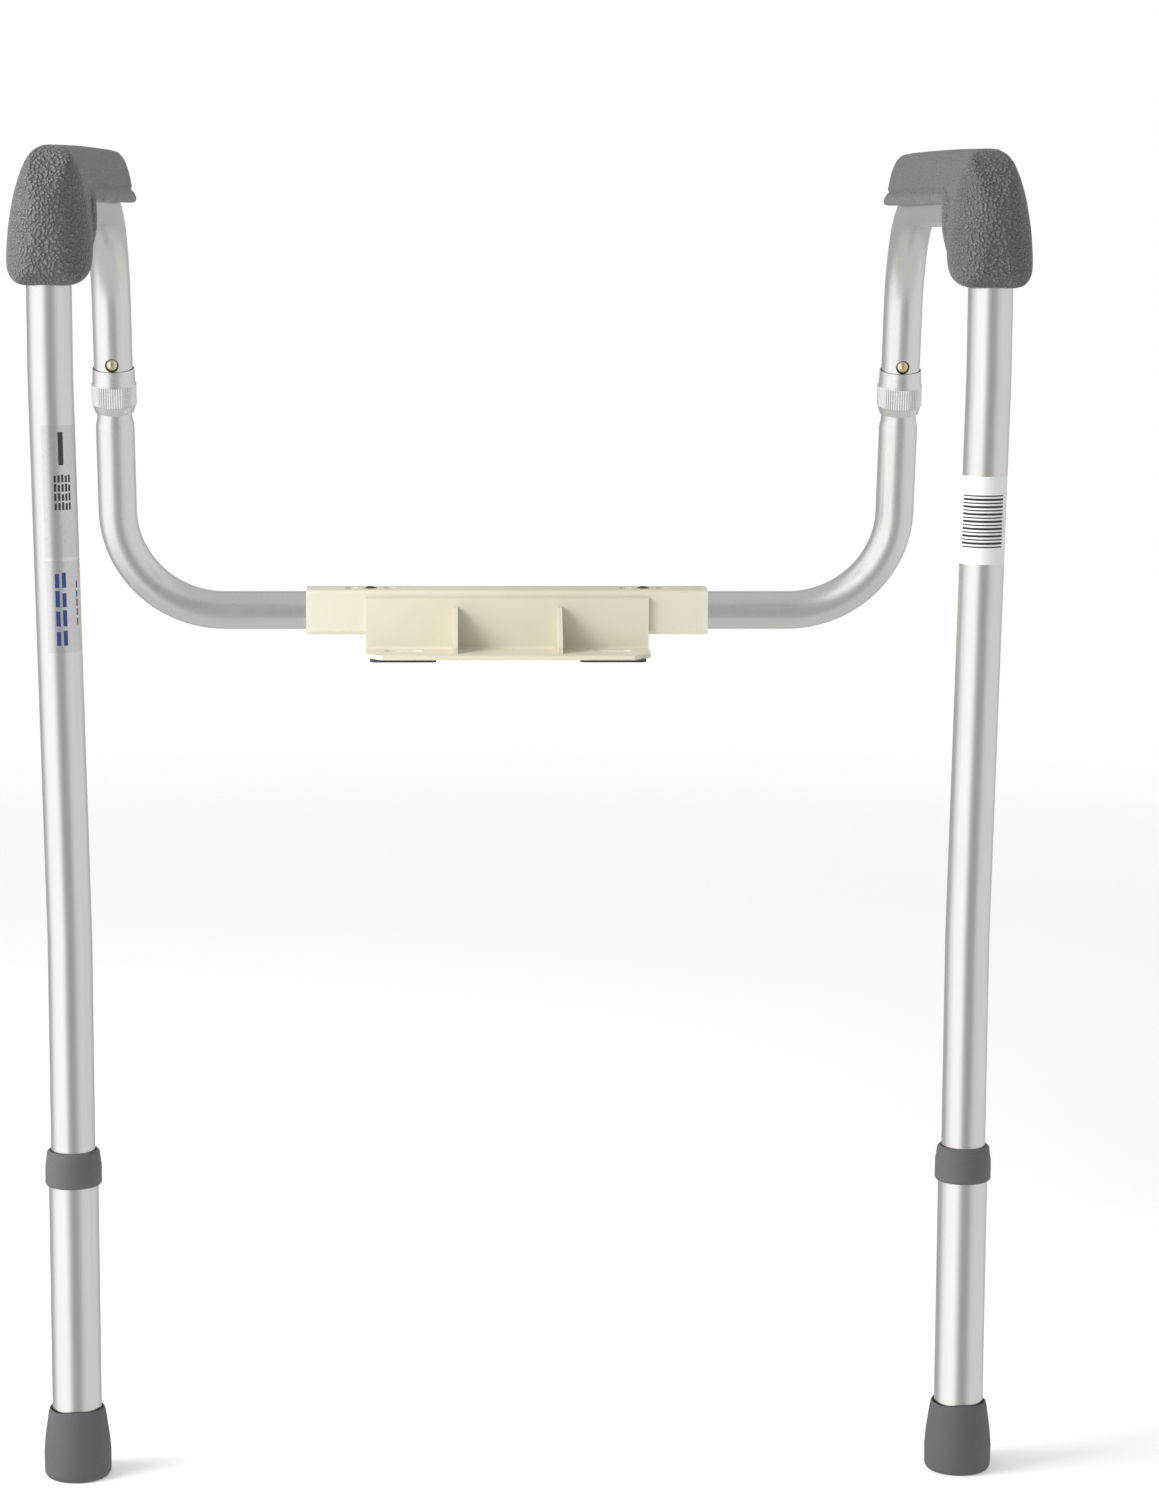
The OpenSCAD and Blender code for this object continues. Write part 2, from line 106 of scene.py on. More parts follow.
class Shader:
    """A Principled material, with short calls for the nodes it needs."""

    def __init__(self, name):
        self.material = bpy.data.materials.new(name)
        self.material.use_nodes = True
        self.nodes = self.material.node_tree.nodes
        self.links = self.material.node_tree.links
        self.surface = self.nodes["Principled BSDF"]
        self.place = self.nodes.new("ShaderNodeTexCoord").outputs["Object"]

    def feed(self, socket, value):
        if isinstance(value, bpy.types.NodeSocket):
            self.links.new(value, socket)
        elif value is not None:
            socket.default_value = value

    def set(self, **values):
        for name, value in values.items():
            self.feed(self.surface.inputs[name.replace("_", " ")], value)
        return self

    def stretched(self, scale):
        node = self.nodes.new("ShaderNodeMapping")
        node.inputs["Scale"].default_value = scale
        self.links.new(self.place, node.inputs["Vector"])
        return node.outputs["Vector"]

    def noise(self, scale, detail=2.0, vector=None):
        node = self.nodes.new("ShaderNodeTexNoise")
        node.inputs["Scale"].default_value = scale
        node.inputs["Detail"].default_value = detail
        self.links.new(vector or self.place, node.inputs["Vector"])
        return node.outputs["Fac"]

    def cells(self, scale, wobble=0.0):
        """Smooth round cells: 0 in the middle of each and towards 1 at its edge."""
        node = self.nodes.new("ShaderNodeTexVoronoi")
        node.feature = "SMOOTH_F1"
        node.inputs["Scale"].default_value = scale
        node.inputs["Smoothness"].default_value = 0.35
        node.inputs["Randomness"].default_value = 0.9
        vector = self.place
        if wobble:
            push = self.nodes.new("ShaderNodeTexNoise")
            push.inputs["Scale"].default_value = scale * 0.45
            self.links.new(self.place, push.inputs["Vector"])
            mix = self.nodes.new("ShaderNodeVectorMath")
            mix.operation = "MULTIPLY_ADD"
            mix.inputs[1].default_value = (wobble, wobble, wobble)
            self.links.new(push.outputs["Color"], mix.inputs[0])
            self.links.new(self.place, mix.inputs[2])
            vector = mix.outputs["Vector"]
        self.links.new(vector, node.inputs["Vector"])
        return node.outputs["Distance"]

    def ramp(self, value, source, target, smooth=False):
        """Maps value from the source range to the target range."""
        node = self.nodes.new("ShaderNodeMapRange")
        if smooth:
            node.interpolation_type = "SMOOTHSTEP"
        for name, number in zip(("From Min", "From Max", "To Min", "To Max"), (*source, *target)):
            node.inputs[name].default_value = number
        self.links.new(value, node.inputs["Value"])
        return node.outputs["Result"]

    def math(self, operation, a, b=None):
        node = self.nodes.new("ShaderNodeMath")
        node.operation = operation
        self.feed(node.inputs[0], a)
        self.feed(node.inputs[1], b)
        return node.outputs[0]

    def mix(self, factor, a, b):
        node = self.nodes.new("ShaderNodeMix")
        node.data_type = "RGBA"
        self.feed(node.inputs[0], factor)
        self.feed(node.inputs[6], a)
        self.feed(node.inputs[7], b)
        return node.outputs[2]

    def bump(self, *layers):
        """Adds bumps, each (height, distance in metres), one on top of the other."""
        normal = None
        for height, distance in layers:
            node = self.nodes.new("ShaderNodeBump")
            node.inputs["Strength"].default_value = 1.0
            node.inputs["Distance"].default_value = distance
            self.links.new(height, node.inputs["Height"])
            if normal:
                self.links.new(normal, node.inputs["Normal"])
            normal = node.outputs["Normal"]
        self.links.new(normal, self.surface.inputs["Normal"])
        return self


def grey(value, warmth=0.0):
    return (value * (1 + warmth), value, value * (1 - 1.5 * warmth), 1)


# ---------------------------------------------------------------- materials

def anodised_aluminium():
    s = Shader("anodised_aluminium")
    drawn = s.noise(1.0, 3.0, s.stretched((900, 900, 14)))
    s.set(
        Metallic=1.0,
        Base_Color=s.mix(s.noise(18, 2.0), grey(0.81, 0.010), grey(0.84, 0.010)),
        Roughness=s.ramp(drawn, (0.3, 0.7), (0.27, 0.32)),
    )
    s.bump((drawn, 0.003 * MM))
    return s.material


def turned_aluminium():
    s = Shader("turned_aluminium")
    rings = s.noise(1.0, 2.0, s.stretched((40, 40, 2500)))
    s.set(
        Metallic=1.0,
        Base_Color=s.mix(s.noise(60), grey(0.80, 0.006), grey(0.88, 0.006)),
        Roughness=s.ramp(rings, (0.3, 0.7), (0.24, 0.36)),
    )
    s.bump((rings, 0.01 * MM))
    return s.material


def brass():
    s = Shader("brass_plate")
    # painted reflection: where the dome turns away from view, its colour is darkened towards dark brown, a painted dark
    # ring that stands in for the dark surroundings the steep edge reflects
    facing = s.nodes.new("ShaderNodeLayerWeight")
    facing.inputs["Blend"].default_value = 0.5
    painted_dark_rim = s.ramp(facing.outputs["Facing"], (0.20, 0.34), (0, 1), smooth=True)
    face = s.mix(s.noise(300), (0.80, 0.66, 0.44, 1), (0.90, 0.79, 0.58, 1))
    s.set(
        Metallic=1.0,
        Base_Color=s.mix(painted_dark_rim, face, (0.12, 0.08, 0.035, 1)),
        Roughness=s.ramp(s.noise(900), (0.3, 0.7), (0.08, 0.14)),
    )
    return s.material


def plain_steel(name, tone, low, high):
    s = Shader(name)
    s.set(
        Metallic=1.0,
        Base_Color=s.mix(s.noise(120), grey(tone * 0.9), grey(tone)),
        Roughness=s.ramp(s.noise(500), (0.3, 0.7), (low, high)),
    )
    return s.material


def powder_coat():
    s = Shader("ivory_powder_coat")
    s.set(
        Base_Color=s.mix(s.noise(30), (0.66, 0.63, 0.50, 1), (0.71, 0.68, 0.55, 1)),
        Roughness=s.ramp(s.noise(400), (0.3, 0.7), (0.38, 0.5)),
    )
    s.bump((s.noise(700, 1.5), 0.03 * MM))
    return s.material


def moulded(name, dark, light, low, high):
    s = Shader(name)
    s.set(
        Base_Color=s.mix(s.noise(45), dark, light),
        Roughness=s.ramp(s.noise(700), (0.3, 0.7), (low, high)),
    )
    s.bump((s.noise(1600, 2.0), 0.012 * MM))
    return s.material


def pebbled_vinyl():
    s = Shader("armrest_vinyl")
    pebble = s.ramp(s.cells(520, 0.0016), (0.12, 0.72), (1, 0), smooth=True)
    wrinkle = s.noise(900, 2.0)
    tone = s.mix(s.noise(14, 2.0), grey(0.166, 0.012), grey(0.188, 0.012))
    # painted highlight: the lower lip, marked by the mesh attribute lip, is painted lighter than the rest of the vinyl,
    # as if its flared face caught the light
    lip = s.nodes.new("ShaderNodeAttribute")
    lip.attribute_name = "lip"
    tone = s.mix(lip.outputs["Fac"], tone, grey(0.25, 0.012))
    # painted shade: the colour is darkened towards near black in the grooves between the pebbles, by up to 0.65 at the
    # cell edges
    s.set(
        Base_Color=s.mix(s.ramp(pebble, (0, 1), (0.65, 0)), tone, grey(0.06, 0.01)),
        Roughness=s.ramp(wrinkle, (0.35, 0.65), (0.26, 0.36)),
    )
    s.bump((pebble, 1.1 * MM), (wrinkle, 0.08 * MM))
    return s.material


MATERIALS = {
    "anodised_aluminium": anodised_aluminium(),
    "turned_aluminium": turned_aluminium(),
    "brass_plate": brass(),
    "spring_steel": plain_steel("spring_steel", 0.55, 0.25, 0.4),
    "zinc_steel": plain_steel("zinc_steel", 0.62, 0.3, 0.45),
    "ivory_powder_coat": powder_coat(),
    "ivory_plastic": moulded("ivory_plastic", (0.68, 0.66, 0.55, 1), (0.73, 0.71, 0.60, 1), 0.36, 0.46),
    "white_nylon": moulded("white_nylon", (0.72, 0.72, 0.69, 1), (0.77, 0.77, 0.74, 1), 0.35, 0.45),
    "grey_plastic": moulded("grey_plastic", grey(0.104), grey(0.120), 0.42, 0.55),
    "grey_rubber": moulded("grey_rubber", (0.094, 0.094, 0.099, 1), (0.108, 0.108, 0.113, 1), 0.5, 0.65),
    "pad_rubber": moulded("pad_rubber", grey(0.05), grey(0.065), 0.6, 0.75),
    "armrest_vinyl": pebbled_vinyl(),
}


def finish_cad_nodes():
    """Gives every CAD node its slot's material."""
    slots = {s["node"]: s["material_slot"] for s in frame["record"]["subparts"]}
    for name, obj in frame["nodes"].items():
        obj.data.materials.clear()
        obj.data.materials.append(MATERIALS[slots[name]])


# ---------------------------------------------------------------- mesh helpers

def add_piece(name, mesh, slot, body, replaced=()):
    piece = bpy.data.objects.new(name, mesh)
    bpy.context.scene.collection.objects.link(piece)
    mesh.materials.clear()
    mesh.materials.append(MATERIALS[slot])
    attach(piece, body)
    if replaced:
        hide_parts(*replaced)
    return piece


def build_mesh(name, vertices, faces, sharp=35):
    mesh = bpy.data.meshes.new(name)
    mesh.from_pydata([tuple(v) for v in vertices], [], faces)
    mesh.shade_smooth()
    mesh.set_sharp_from_angle(angle=math.radians(sharp))
    return mesh


def modified(mesh, kind, **settings):
    """The mesh after one modifier."""
    obj = bpy.data.objects.new("work", mesh)
    bpy.context.scene.collection.objects.link(obj)
    modifier = obj.modifiers.new(kind, kind)
    for name, value in settings.items():
        setattr(modifier, name, value)
    result = bpy.data.meshes.new_from_object(obj.evaluated_get(bpy.context.evaluated_depsgraph_get()))
    bpy.data.objects.remove(obj)
    return result


def coordinates(mesh):
    points = np.empty(len(mesh.vertices) * 3)
    mesh.vertices.foreach_get("co", points)
    return points.reshape(-1, 3)


def set_coordinates(mesh, points):
    mesh.vertices.foreach_set("co", points.ravel())
    mesh.update()


def filleted(outline, radius, steps=5):
    """A closed outline with each corner rounded by up to radius."""
    points = [Vector(p) for p in outline]
    result = []
    for i, p in enumerate(points):
        before, after = points[i - 1] - p, points[(i + 1) % len(points)] - p
        turn = math.pi - before.angle(after)
        if turn < 0.02:
            result.append(p)
            continue
        trim = min(radius * math.tan(turn / 2), 0.45 * before.length, 0.45 * after.length)
        a, b = p + before.normalized() * trim, p + after.normalized() * trim
        for k in range(steps + 1):
            t = k / steps
            result.append(a * (1 - t) ** 2 + p * 2 * t * (1 - t) + b * t * t)
    return result


def lathe(outline, origin, segments=128, shape=None):
    """Turns a closed outline of (radius, height) about Z. shape(r, z, angle) may move a point."""
    count = len(outline)
    vertices = []
    for s in range(segments):
        angle = 2 * math.pi * s / segments
        for p in outline:
            r, z = shape(p[0], p[1], angle) if shape else (p[0], p[1])
            vertices.append(origin + Vector((r * math.cos(angle), r * math.sin(angle), z)))
    faces = [
        (s * count + i, ((s + 1) % segments) * count + i,
         ((s + 1) % segments) * count + (i + 1) % count, s * count + (i + 1) % count)
        for s in range(segments) for i in range(count)
    ]
    return vertices, faces


# ---------------------------------------------------------------- armrests

def armrest(side):
    """The CAD armrest with a knuckle that is rounded in plan, soft edges and a flared lower lip."""
    sign = SIDES[side]
    low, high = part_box(f"armrest_{side}")
    leg_x = leg_axis(side)[-1][0]
    rear_x = centre(f"lock_collar_{side}").x
    mesh = modified(frame["nodes"][f"armrest_{side}"].data.copy(), "REMESH", mode="VOXEL", voxel_size=1.1 * MM)
    points = coordinates(mesh)

    def across(p):
        """Where the armrest's middle line is at each point's y."""
        t = (p[:, 1] - LEG_Y) / (0 - LEG_Y)
        return leg_x + (rear_x - leg_x) * t * 0.93

    def crown(depth):
        """Half-width of the section at a depth below the top."""
        return np.interp(depth, CROWN_DEPTHS, CROWN_WIDTHS)

    # narrower sections above and in front, instead of the least of two extruded widths
    half = 25 * MM
    front = LEG_Y - low.y
    y = points[:, 1] - LEG_Y
    plan = half * np.sqrt(np.clip(1 - (np.minimum(y, 0) / front) ** 2, 0.0, 1))
    section = crown(high.z - points[:, 2])
    product = section * plan / half
    least = np.minimum(section, plan)
    squeeze = np.where(y < 0, np.clip(product / np.maximum(least, MM), 0.5, 1), 1)
    middle = across(points)
    outer = np.linalg.norm(np.stack([points[:, 0] - middle, y], 1), axis=1) > TUBE_R + 1.5 * MM
    points[:, 0] = np.where(outer, middle + (points[:, 0] - middle) * squeeze, points[:, 0])

    # below the underside the knuckle is rounded at the back too
    back = TUBE_R + 9 * MM
    x = abs(points[:, 0] - middle) / half
    y = np.clip(points[:, 1] - LEG_Y, 0, None) / back
    rounding = np.maximum(x, y) / np.maximum((x ** 2.6 + y ** 2.6) ** (1 / 2.6), 1e-6)
    below = smoothstep(high.z - points[:, 2], 38 * MM, 78 * MM)
    pull = 1 + (rounding - 1) * below * (points[:, 1] > LEG_Y) * outer
    points[:, 0] = middle + (points[:, 0] - middle) * pull
    points[:, 1] = LEG_Y + (points[:, 1] - LEG_Y) * pull

    # the knuckle's outer shoulder slopes away, and its inner side is narrower at the bottom
    depth = high.z - points[:, 2]
    aside = points[:, 0] - middle
    near_leg = 1 - smoothstep(points[:, 1] - LEG_Y, 10 * MM, 60 * MM)
    outer_share = 0.05 + 0.36 * np.exp(-depth / (18 * MM))
    inner_share = 0.04 * smoothstep(depth, 50 * MM, 70 * MM)
    over_tube = depth < high.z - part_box(f"arm_tube_{side}")[1].z - 1.5 * MM
    trim = np.where(aside * sign > 0, outer_share, inner_share) * near_leg * (outer | over_tube)
    points[:, 0] = middle + aside * (1 - trim)
    set_coordinates(mesh, points)
    mesh = modified(mesh, "SMOOTH", factor=0.5, iterations=30)

    # the lower lip flares outwards along the sides and the rear end, and round the inner corner
    points = coordinates(mesh)
    bottom, top = points[:, 2].min(), points[:, 2].max()
    points[:, 2] = low.z + (points[:, 2] - bottom) * (high.z - low.z) / (top - bottom)
    knuckle = points[points[:, 2] < low.z + 20 * MM]
    corner_y = knuckle[:, 1].max() + CORNER_R
    rear_under = points[points[:, 1] > high.y - 12 * MM][:, 2].min()
    corner_under = points[abs(points[:, 1] - corner_y - 10 * MM) < 2 * MM][:, 2].min()
    slope = (corner_under - rear_under) / (high.y - corner_y)
    corner_z = corner_under - CORNER_R
    level = points[:, 2] - (rear_under + (high.y - points[:, 1]) * slope)
    round_corner = np.hypot(points[:, 1] - corner_y, points[:, 2] - corner_z) - CORNER_R
    above = np.where(points[:, 1] > corner_y, level, round_corner)
    lip = 1 - smoothstep(above, 0.3 * LIP_HEIGHT, LIP_HEIGHT)
    crease = np.exp(-((above - LIP_HEIGHT) / (1.2 * MM)) ** 2)
    fading = smoothstep(points[:, 2], corner_z - 26 * MM, corner_z + 18 * MM)
    beside = smoothstep(abs(points[:, 0] - across(points)), 14 * MM, 18 * MM)
    swell = (lip * LIP_FLARE - crease * LIP_CREASE) * fading
    points[:, 0] += np.sign(points[:, 0] - across(points)) * beside * swell
    behind = smoothstep(points[:, 1], high.y - 6 * MM, high.y - 2 * MM)
    points[:, 1] += behind * lip * LIP_FLARE
    set_coordinates(mesh, points)
    mesh.shade_smooth()
    # the lip mask is also kept on the mesh, where the vinyl uses it to paint a highlight on the lip
    tone = mesh.attributes.new("lip", "FLOAT", "POINT")
    tone.data.foreach_set("value", lip * fading)
    return add_piece(f"armrest_cover_{side}", mesh, "armrest_vinyl", f"arm_{side}", [f"armrest_{side}"])


CORNER_R = 23 * MM
LIP_HEIGHT = 8.5 * MM
LIP_FLARE = 2.1 * MM
LIP_CREASE = 0.9 * MM
CROWN_DEPTHS = np.array([0, 0.5, 3, 8, 16, 27, 45, 60, 90]) * MM
CROWN_WIDTHS = np.array([2, 7, 12, 16, 19, 21.5, 24, 25, 25]) * MM


# ---------------------------------------------------------------- feet and leg collars

def foot(side):
    low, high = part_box(f"foot_{side}")
    origin = Vector((centre(f"foot_{side}").x, LEG_Y, low.z))
    height = (high.z - low.z)
    body_r = (high.x - low.x) / 2
    tube_r = (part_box(f"leg_extension_{side}")[1].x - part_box(f"leg_extension_{side}")[0].x) / 2
    rim_r = 16.3 * MM
    outline = filleted([
        (1.5 * MM, 0), (6 * MM, 0), (6 * MM, 1.2 * MM), (8 * MM, 1.2 * MM), (8 * MM, 0),
        (11 * MM, 0), (11 * MM, 1.2 * MM), (13 * MM, 1.2 * MM), (13 * MM, 0),
        (body_r - 1.6 * MM, 0), (body_r - 0.2 * MM, 2.4 * MM), (body_r, 14 * MM), (body_r - 0.7 * MM, 23 * MM),
        (rim_r + 0.4 * MM, height - 3 * MM), (rim_r - 0.3 * MM, height),
        (tube_r + 0.9 * MM, height), (tube_r + 0.5 * MM, height - 1.8 * MM),
        (tube_r + 0.05 * MM, height - 3.4 * MM), (tube_r + 0.05 * MM, 8 * MM), (1.5 * MM, 8 * MM),
    ], 1.6 * MM)

    def soft_rim(r, z, angle):
        """The rim sags a little, unevenly, as rubber does on a tube."""
        near_rim = smoothstep(z, height - 9 * MM, height)
        return r, z - near_rim * (0.45 * math.sin(2 * angle + 0.8) + 0.25 * math.sin(5 * angle)) * MM

    mesh = build_mesh(f"foot_boot_{side}", *lathe(outline, origin, 144, soft_rim), sharp=50)
    return add_piece(f"foot_boot_{side}", mesh, "grey_rubber", f"leg_{side}", [f"foot_{side}"])


def leg_collar(side):
    node = f"leg_collar_{side}"
    low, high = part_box(node)
    origin = Vector((centre(node).x, LEG_Y, low.z))
    height = high.z - low.z
    outer = (high.x - low.x) / 2
    inner = TUBE_R + 0.1 * MM
    outline = filleted([
        (14.35 * MM, 0), (outer - 0.7 * MM, 0), (outer, 1.4 * MM), (outer - 0.1 * MM, 12 * MM),
        (outer - 0.7 * MM, 15.5 * MM), (outer - 1.1 * MM, height - 1.2 * MM), (outer - 2.2 * MM, height),
        (inner + 0.5 * MM, height), (inner, height - 0.8 * MM), (inner, 17.6 * MM), (14.35 * MM, 17.4 * MM),
    ], 1.4 * MM)
    mesh = build_mesh(f"leg_ferrule_{side}", *lathe(outline, origin, 144), sharp=50)
    return add_piece(f"leg_ferrule_{side}", mesh, "grey_plastic", f"leg_{side}", [node])


# ---------------------------------------------------------------- lock collars

def lock_collar(side):
    """The knurled collar, with fine straight knurling and a lip that stands off the tube."""
    node = f"lock_collar_{side}"
    joint = next(j for j in frame["joints"] if j["name"] == f"{node}_turn")
    up = -Vector(joint["axis"]).normalized()
    origin = Vector(joint["pos_m"])
    heights = (vertices_of(node) - np.array(origin)) @ np.array(up)
    base = heights.min()
    height = heights.max() - base
    to_upright = up.to_track_quat("Z", "Y").to_matrix()
    bore = 11.5 * MM
    knurl_r = 14.75 * MM
    knurl_from, knurl_to = 5.6 * MM, 18.9 * MM
    mouth = TUBE_R + 0.6 * MM
    outline = filleted([
        (bore, 1.8 * MM), (bore + 0.7 * MM, 0), (bore + 1.2 * MM, 0), (knurl_r - 0.5 * MM, 5.0 * MM),
        (knurl_r, knurl_from), (knurl_r, knurl_from + 0.1 * MM), (knurl_r, knurl_to - 0.1 * MM),
        (knurl_r, knurl_to), (knurl_r - 0.3 * MM, 19.6 * MM), (14.1 * MM, 20.1 * MM),
        (14.0 * MM, 20.8 * MM), (13.75 * MM, height - 0.4 * MM), (13.55 * MM, height), (mouth, height),
        (mouth - 0.1 * MM, height - 2.6 * MM), (TUBE_R + 0.1 * MM, height - 3.2 * MM),
        (TUBE_R + 0.1 * MM, 3 * MM), (bore, 2.8 * MM),
    ], 0.3 * MM, 3)
    grooves = 56

    def knurl(r, z, angle):
        inside = knurl_from - 0.01 * MM < z < knurl_to + 0.01 * MM and r > knurl_r - 0.05 * MM
        depth = (0.5 - 0.5 * math.cos(grooves * angle)) ** 2 * 0.42 * MM if inside else 0
        return r - depth, z

    vertices, faces = lathe(outline, Vector((0, 0, base)), grooves * 8, knurl)
    vertices = [to_upright @ v + origin for v in vertices]
    mesh = build_mesh(f"lock_collar_shell_{side}", vertices, faces, sharp=40)
    return add_piece(f"lock_collar_shell_{side}", mesh, "turned_aluminium", f"lock_collar_{side}", [node])


# ---------------------------------------------------------------- spring clips

def bending_clip(node):
    """A copy of the steel clip's mesh with its transform baked in, not tied to any body, in place of the CAD node,
    which it hides.
    """
    mesh = frame["nodes"][node].data.copy()
    piece = bpy.data.objects.new(f"{node}_strip", mesh)
    bpy.context.scene.collection.objects.link(piece)
    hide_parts(node)
    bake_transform(piece)


# ---------------------------------------------------------------- labels

def label(name, side, low, high, start, end, material):
    """A thin sheet wrapped round the front leg between two heights and two angles from the front, in degrees."""
    rings = leg_axis(side)
    rows, steps = 24, 40
    radius = TUBE_R + 0.12 * MM
    vertices = []
    for z in np.linspace(low, high, rows + 1):
        x = np.interp(z, rings[:, 2], rings[:, 0])
        for a in np.radians(np.linspace(start, end, steps + 1)):
            vertices.append((x + radius * math.sin(a), LEG_Y - radius * math.cos(a), z))
    faces = [
        (r * (steps + 1) + c, r * (steps + 1) + c + 1, (r + 1) * (steps + 1) + c + 1, (r + 1) * (steps + 1) + c)
        for r in range(rows) for c in range(steps)
    ]
    mesh = build_mesh(name, vertices, faces)
    layer = mesh.uv_layers.new(name="sheet")
    for loop in mesh.loops:
        r, c = divmod(loop.vertex_index, steps + 1)
        layer.data[loop.index].uv = (c / steps, r / rows)
    mesh.materials.append(material)
    piece = bpy.data.objects.new(name, mesh)
    bpy.context.scene.collection.objects.link(piece)
    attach(piece, f"arm_{side}")
    return piece


def sheet_coordinates(s):
    uv = s.nodes.new("ShaderNodeSeparateXYZ")
    s.links.new(s.nodes.new("ShaderNodeTexCoord").outputs["UV"], uv.inputs[0])
    return uv.outputs["X"], uv.outputs["Y"]


def between(s, value, low, high):
    """1 where value lies between low and high."""
    return s.math("MULTIPLY", s.math("GREATER_THAN", value, low), s.math("LESS_THAN", value, high))


def striped_paper():
    """A white paper label with plain dark stripes that carry no information."""
    s = Shader("striped_paper")
    across, along = sheet_coordinates(s)
    bars = None
    stripes = 15
    for i in range(stripes):
        middle = 0.20 + 0.58 * i / (stripes - 1)
        half = (0.008, 0.013, 0.006, 0.010)[(i * i) % 4]
        bar = between(s, along, middle - half, middle + half)
        bars = bar if bars is None else s.math("MAXIMUM", bars, bar)
    ink = s.math("MULTIPLY", bars, between(s, across, 0.22, 0.86))
    s.set(
        Base_Color=s.mix(ink, s.mix(s.noise(60), grey(0.80), grey(0.86)), grey(0.02)),
        Roughness=s.ramp(s.noise(300), (0.3, 0.7), (0.40, 0.52)),
    )
    return s.material


def clear_film(name, tint, lines):
    """A clear film label with plain lines: each line is (across from, to, along from, to)."""
    s = Shader(name)
    across, along = sheet_coordinates(s)
    ink = None
    for left, right, low, high in lines:
        line = s.math("MULTIPLY", between(s, across, left, right), between(s, along, low, high))
        ink = line if ink is None else s.math("MAXIMUM", ink, line)
    s.set(
        Base_Color=s.mix(ink, (0.62, 0.63, 0.68, 1), tint),
        Metallic=s.ramp(ink, (0, 1), (0.7, 0)),
        Roughness=s.ramp(s.noise(300), (0.3, 0.7), (0.22, 0.30)),
        Alpha=s.ramp(ink, (0, 1), (0.16, 0.85)),
    )
    return s.material


def labels():
    label("label_right", "right", 103 * MM, 153 * MM, -115, 75, striped_paper())
    dark = dashes(0.22, 0.58, 0.36, 0.64, columns=5, rows=4)
    dark += [(0.32, 0.42, 0.70, 0.95)]
    label("label_left_upper", "left", 107 * MM, 181 * MM, -25, 110, clear_film("film_dark", grey(0.03), dark))
    blue = dashes(0.18, 0.44, 0.08, 0.92, columns=2, rows=4) + dashes(0.62, 0.68, 0.30, 0.80, columns=1, rows=5)
    label("label_left_lower", "left", 53 * MM, 105 * MM, -25, 110, clear_film("film_blue", (0.02, 0.05, 0.22, 1), blue))


def dashes(left, right, low, high, columns, rows):
    """Plain dashes in columns along a label, as (across from, to, along from, to)."""
    pitch = (right - left) / columns
    step = (high - low) / rows
    return [
        (left + pitch * c, left + pitch * (c + 0.6), low + step * r, low + step * (r + 0.72 + 0.06 * ((r + c) % 3)))
        for c in range(columns) for r in range(rows)
    ]


# ---------------------------------------------------------------- studio

def environment_colour(tree, strength_at):
    """A ring of light and dark round the object. strength_at lists (azimuth in degrees, strength)."""
    nodes, links = tree.nodes, tree.links
    place = nodes.new("ShaderNodeTexCoord").outputs["Generated"]
    split = nodes.new("ShaderNodeSeparateXYZ")
    links.new(place, split.inputs[0])
    back = nodes.new("ShaderNodeMath")
    back.operation = "MULTIPLY"
    back.inputs[1].default_value = -1
    links.new(split.outputs["Y"], back.inputs[0])
    turn = nodes.new("ShaderNodeMath")
    turn.operation = "ARCTAN2"
    links.new(split.outputs["X"], turn.inputs[0])
    links.new(back.outputs[0], turn.inputs[1])
    part = nodes.new("ShaderNodeMapRange")
    part.inputs["From Min"].default_value = -math.pi
    part.inputs["From Max"].default_value = math.pi
    links.new(turn.outputs[0], part.inputs["Value"])
    ramp = nodes.new("ShaderNodeValToRGB")
    ramp.color_ramp.interpolation = "EASE"
    stops = ramp.color_ramp.elements
    while len(stops) < len(strength_at):
        stops.new(0.5)
    top = max(s for _, s in strength_at)
    for stop, (azimuth, strength) in zip(stops, strength_at):
        stop.position = (azimuth + 180) / 360
        level = strength / top
        stop.color = (level, level, level, 1)
    links.new(part.outputs[0], ramp.inputs[0])
    return ramp.outputs["Color"], split.outputs["Z"], top


AROUND = [
    (-180, 0.45), (-130, 0.45), (-85, 1.15), (-35, 1.20), (-6, 0.40),
    (14, 0.36), (50, 0.73), (115, 0.72), (150, 0.48), (180, 0.45),
]
OVERHEAD = 0.54
UNDERFOOT = 0.60


def world():
    w = bpy.data.worlds.new("studio")
    bpy.context.scene.world = w
    w.use_nodes = True
    tree = w.node_tree
    nodes, links = tree.nodes, tree.links
    around, up, top = environment_colour(tree, AROUND)
    for strength, start, end in ((OVERHEAD, 0.45, 0.85), (UNDERFOOT, -0.45, -0.8)):
        reach = nodes.new("ShaderNodeMapRange")
        reach.interpolation_type = "SMOOTHSTEP"
        reach.inputs["From Min"].default_value = start
        reach.inputs["From Max"].default_value = end
        links.new(up, reach.inputs["Value"])
        mix = nodes.new("ShaderNodeMix")
        mix.data_type = "RGBA"
        links.new(reach.outputs[0], mix.inputs[0])
        links.new(around, mix.inputs[6])
        mix.inputs[7].default_value = (strength / top, strength / top, strength / top, 1)
        around = mix.outputs[2]
    lit = nodes["Background"]
    lit.inputs["Strength"].default_value = top
    links.new(around, lit.inputs["Color"])
    seen = nodes.new("ShaderNodeBackground")
    seen.inputs["Color"].default_value = (1, 1, 1, 1)
    choose = nodes.new("ShaderNodeMixShader")
    rays = nodes.new("ShaderNodeLightPath")
    links.new(rays.outputs["Is Camera Ray"], choose.inputs[0])
    links.new(lit.outputs[0], choose.inputs[1])
    links.new(seen.outputs[0], choose.inputs[2])
    links.new(choose.outputs[0], nodes["World Output"].inputs["Surface"])


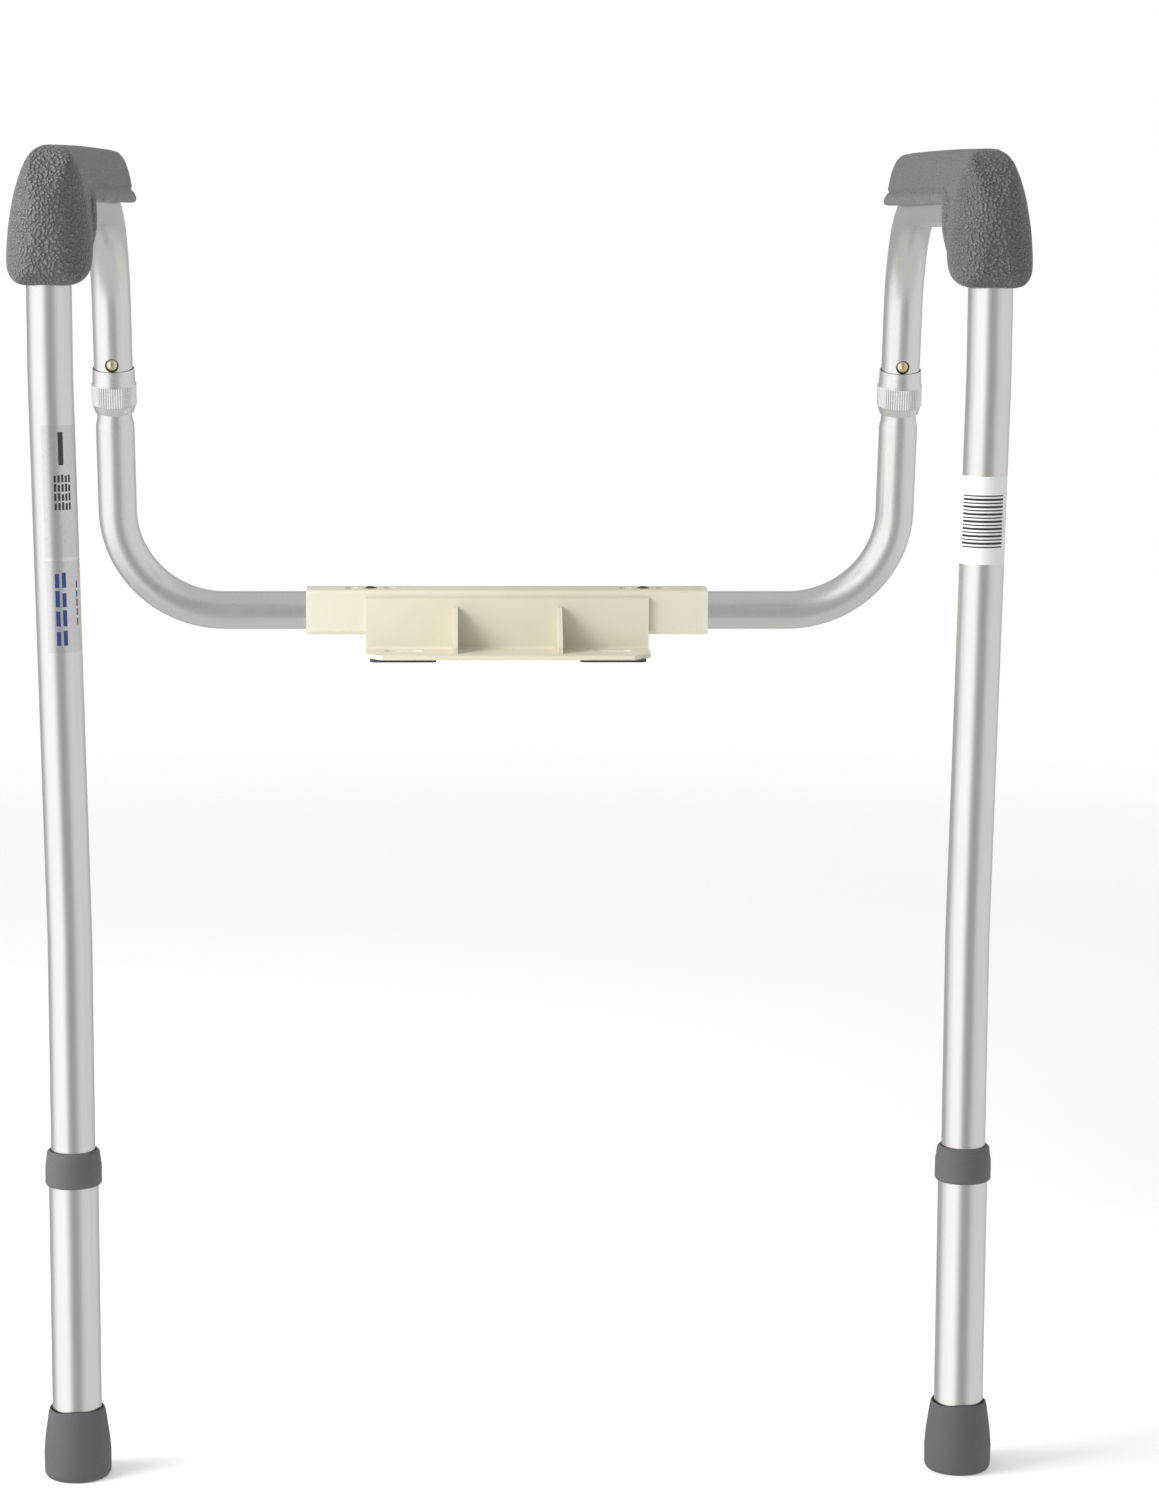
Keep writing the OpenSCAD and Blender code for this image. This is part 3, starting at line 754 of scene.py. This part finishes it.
def floor():
    """A pale floor that fades into the white surround."""
    near, far = 1.1, 2.6
    rings = np.linspace(0, 2 * math.pi, 96, endpoint=False)
    vertices = [(far * math.cos(a), far * math.sin(a), FLOOR_Z) for a in rings]
    mesh = build_mesh("floor", vertices, [tuple(range(len(rings)))])
    obj = bpy.data.objects.new("floor", mesh)
    bpy.context.scene.collection.objects.link(obj)
    s = Shader("floor")
    s.set(Base_Color=grey(0.90), Roughness=0.7, Specular_IOR_Level=0.15)
    s.set(Emission_Color=grey(1.0), Emission_Strength=0.26)
    distance = s.nodes.new("ShaderNodeVectorMath")
    distance.operation = "LENGTH"
    s.links.new(s.stretched((1, 1, 0)), distance.inputs[0])
    above = s.ramp(s.nodes.new("ShaderNodeNewGeometry").outputs["Backfacing"], (0, 1), (1, 0))
    s.set(Alpha=s.math("MULTIPLY", above, s.ramp(distance.outputs["Value"], (near, far), (1, 0), smooth=True)))
    mesh.materials.append(s.material)
    obj.visible_glossy = False


def area_light(name, place, size, energy, glossy=False):
    data = bpy.data.lights.new(name, "AREA")
    data.size = size
    data.energy = energy
    light = bpy.data.objects.new(name, data)
    light.location = place
    light.rotation_euler = (Vector((0, -0.2, 0)) - Vector(place)).to_track_quat("-Z", "Y").to_euler()
    light.visible_glossy = glossy
    bpy.context.scene.collection.objects.link(light)


def camera():
    data = bpy.data.cameras.new("camera")
    data.lens = 93.6
    cam = bpy.data.objects.new("camera", data)
    yaw, pitch, roll = math.radians(2.18), math.radians(8.705), math.radians(0.247)
    forward = Vector((math.sin(yaw) * math.cos(pitch), math.cos(yaw) * math.cos(pitch), -math.sin(pitch)))
    level = Vector((math.cos(yaw), -math.sin(yaw), 0))
    up = level.cross(forward)
    right = level * math.cos(roll) + up * math.sin(roll)
    up = up * math.cos(roll) - level * math.sin(roll)
    turn = Matrix((right, up, -forward)).transposed().to_4x4()
    cam.matrix_world = Matrix.Translation((-0.0503, LEG_Y - 2.1999, 0.3326)) @ turn
    bpy.context.scene.collection.objects.link(cam)
    bpy.context.scene.camera = cam


# ---------------------------------------------------------------- the scene

finish_cad_nodes()
for side in SIDES:
    armrest(side)
    foot(side)
    leg_collar(side)
    lock_collar(side)
    bending_clip(f"width_clip_{side}")
    bending_clip(f"leg_clip_{side}")
    bending_clip(f"arm_spring_{side}")
labels()
floor()
world()
area_light("key", (-1.3, -0.75, 0.75), 0.9, 26)
area_light("top", (-0.3, -0.3, 2.6), 2.0, 4)
camera()
bpy.context.scene.view_settings.view_transform = "Standard"
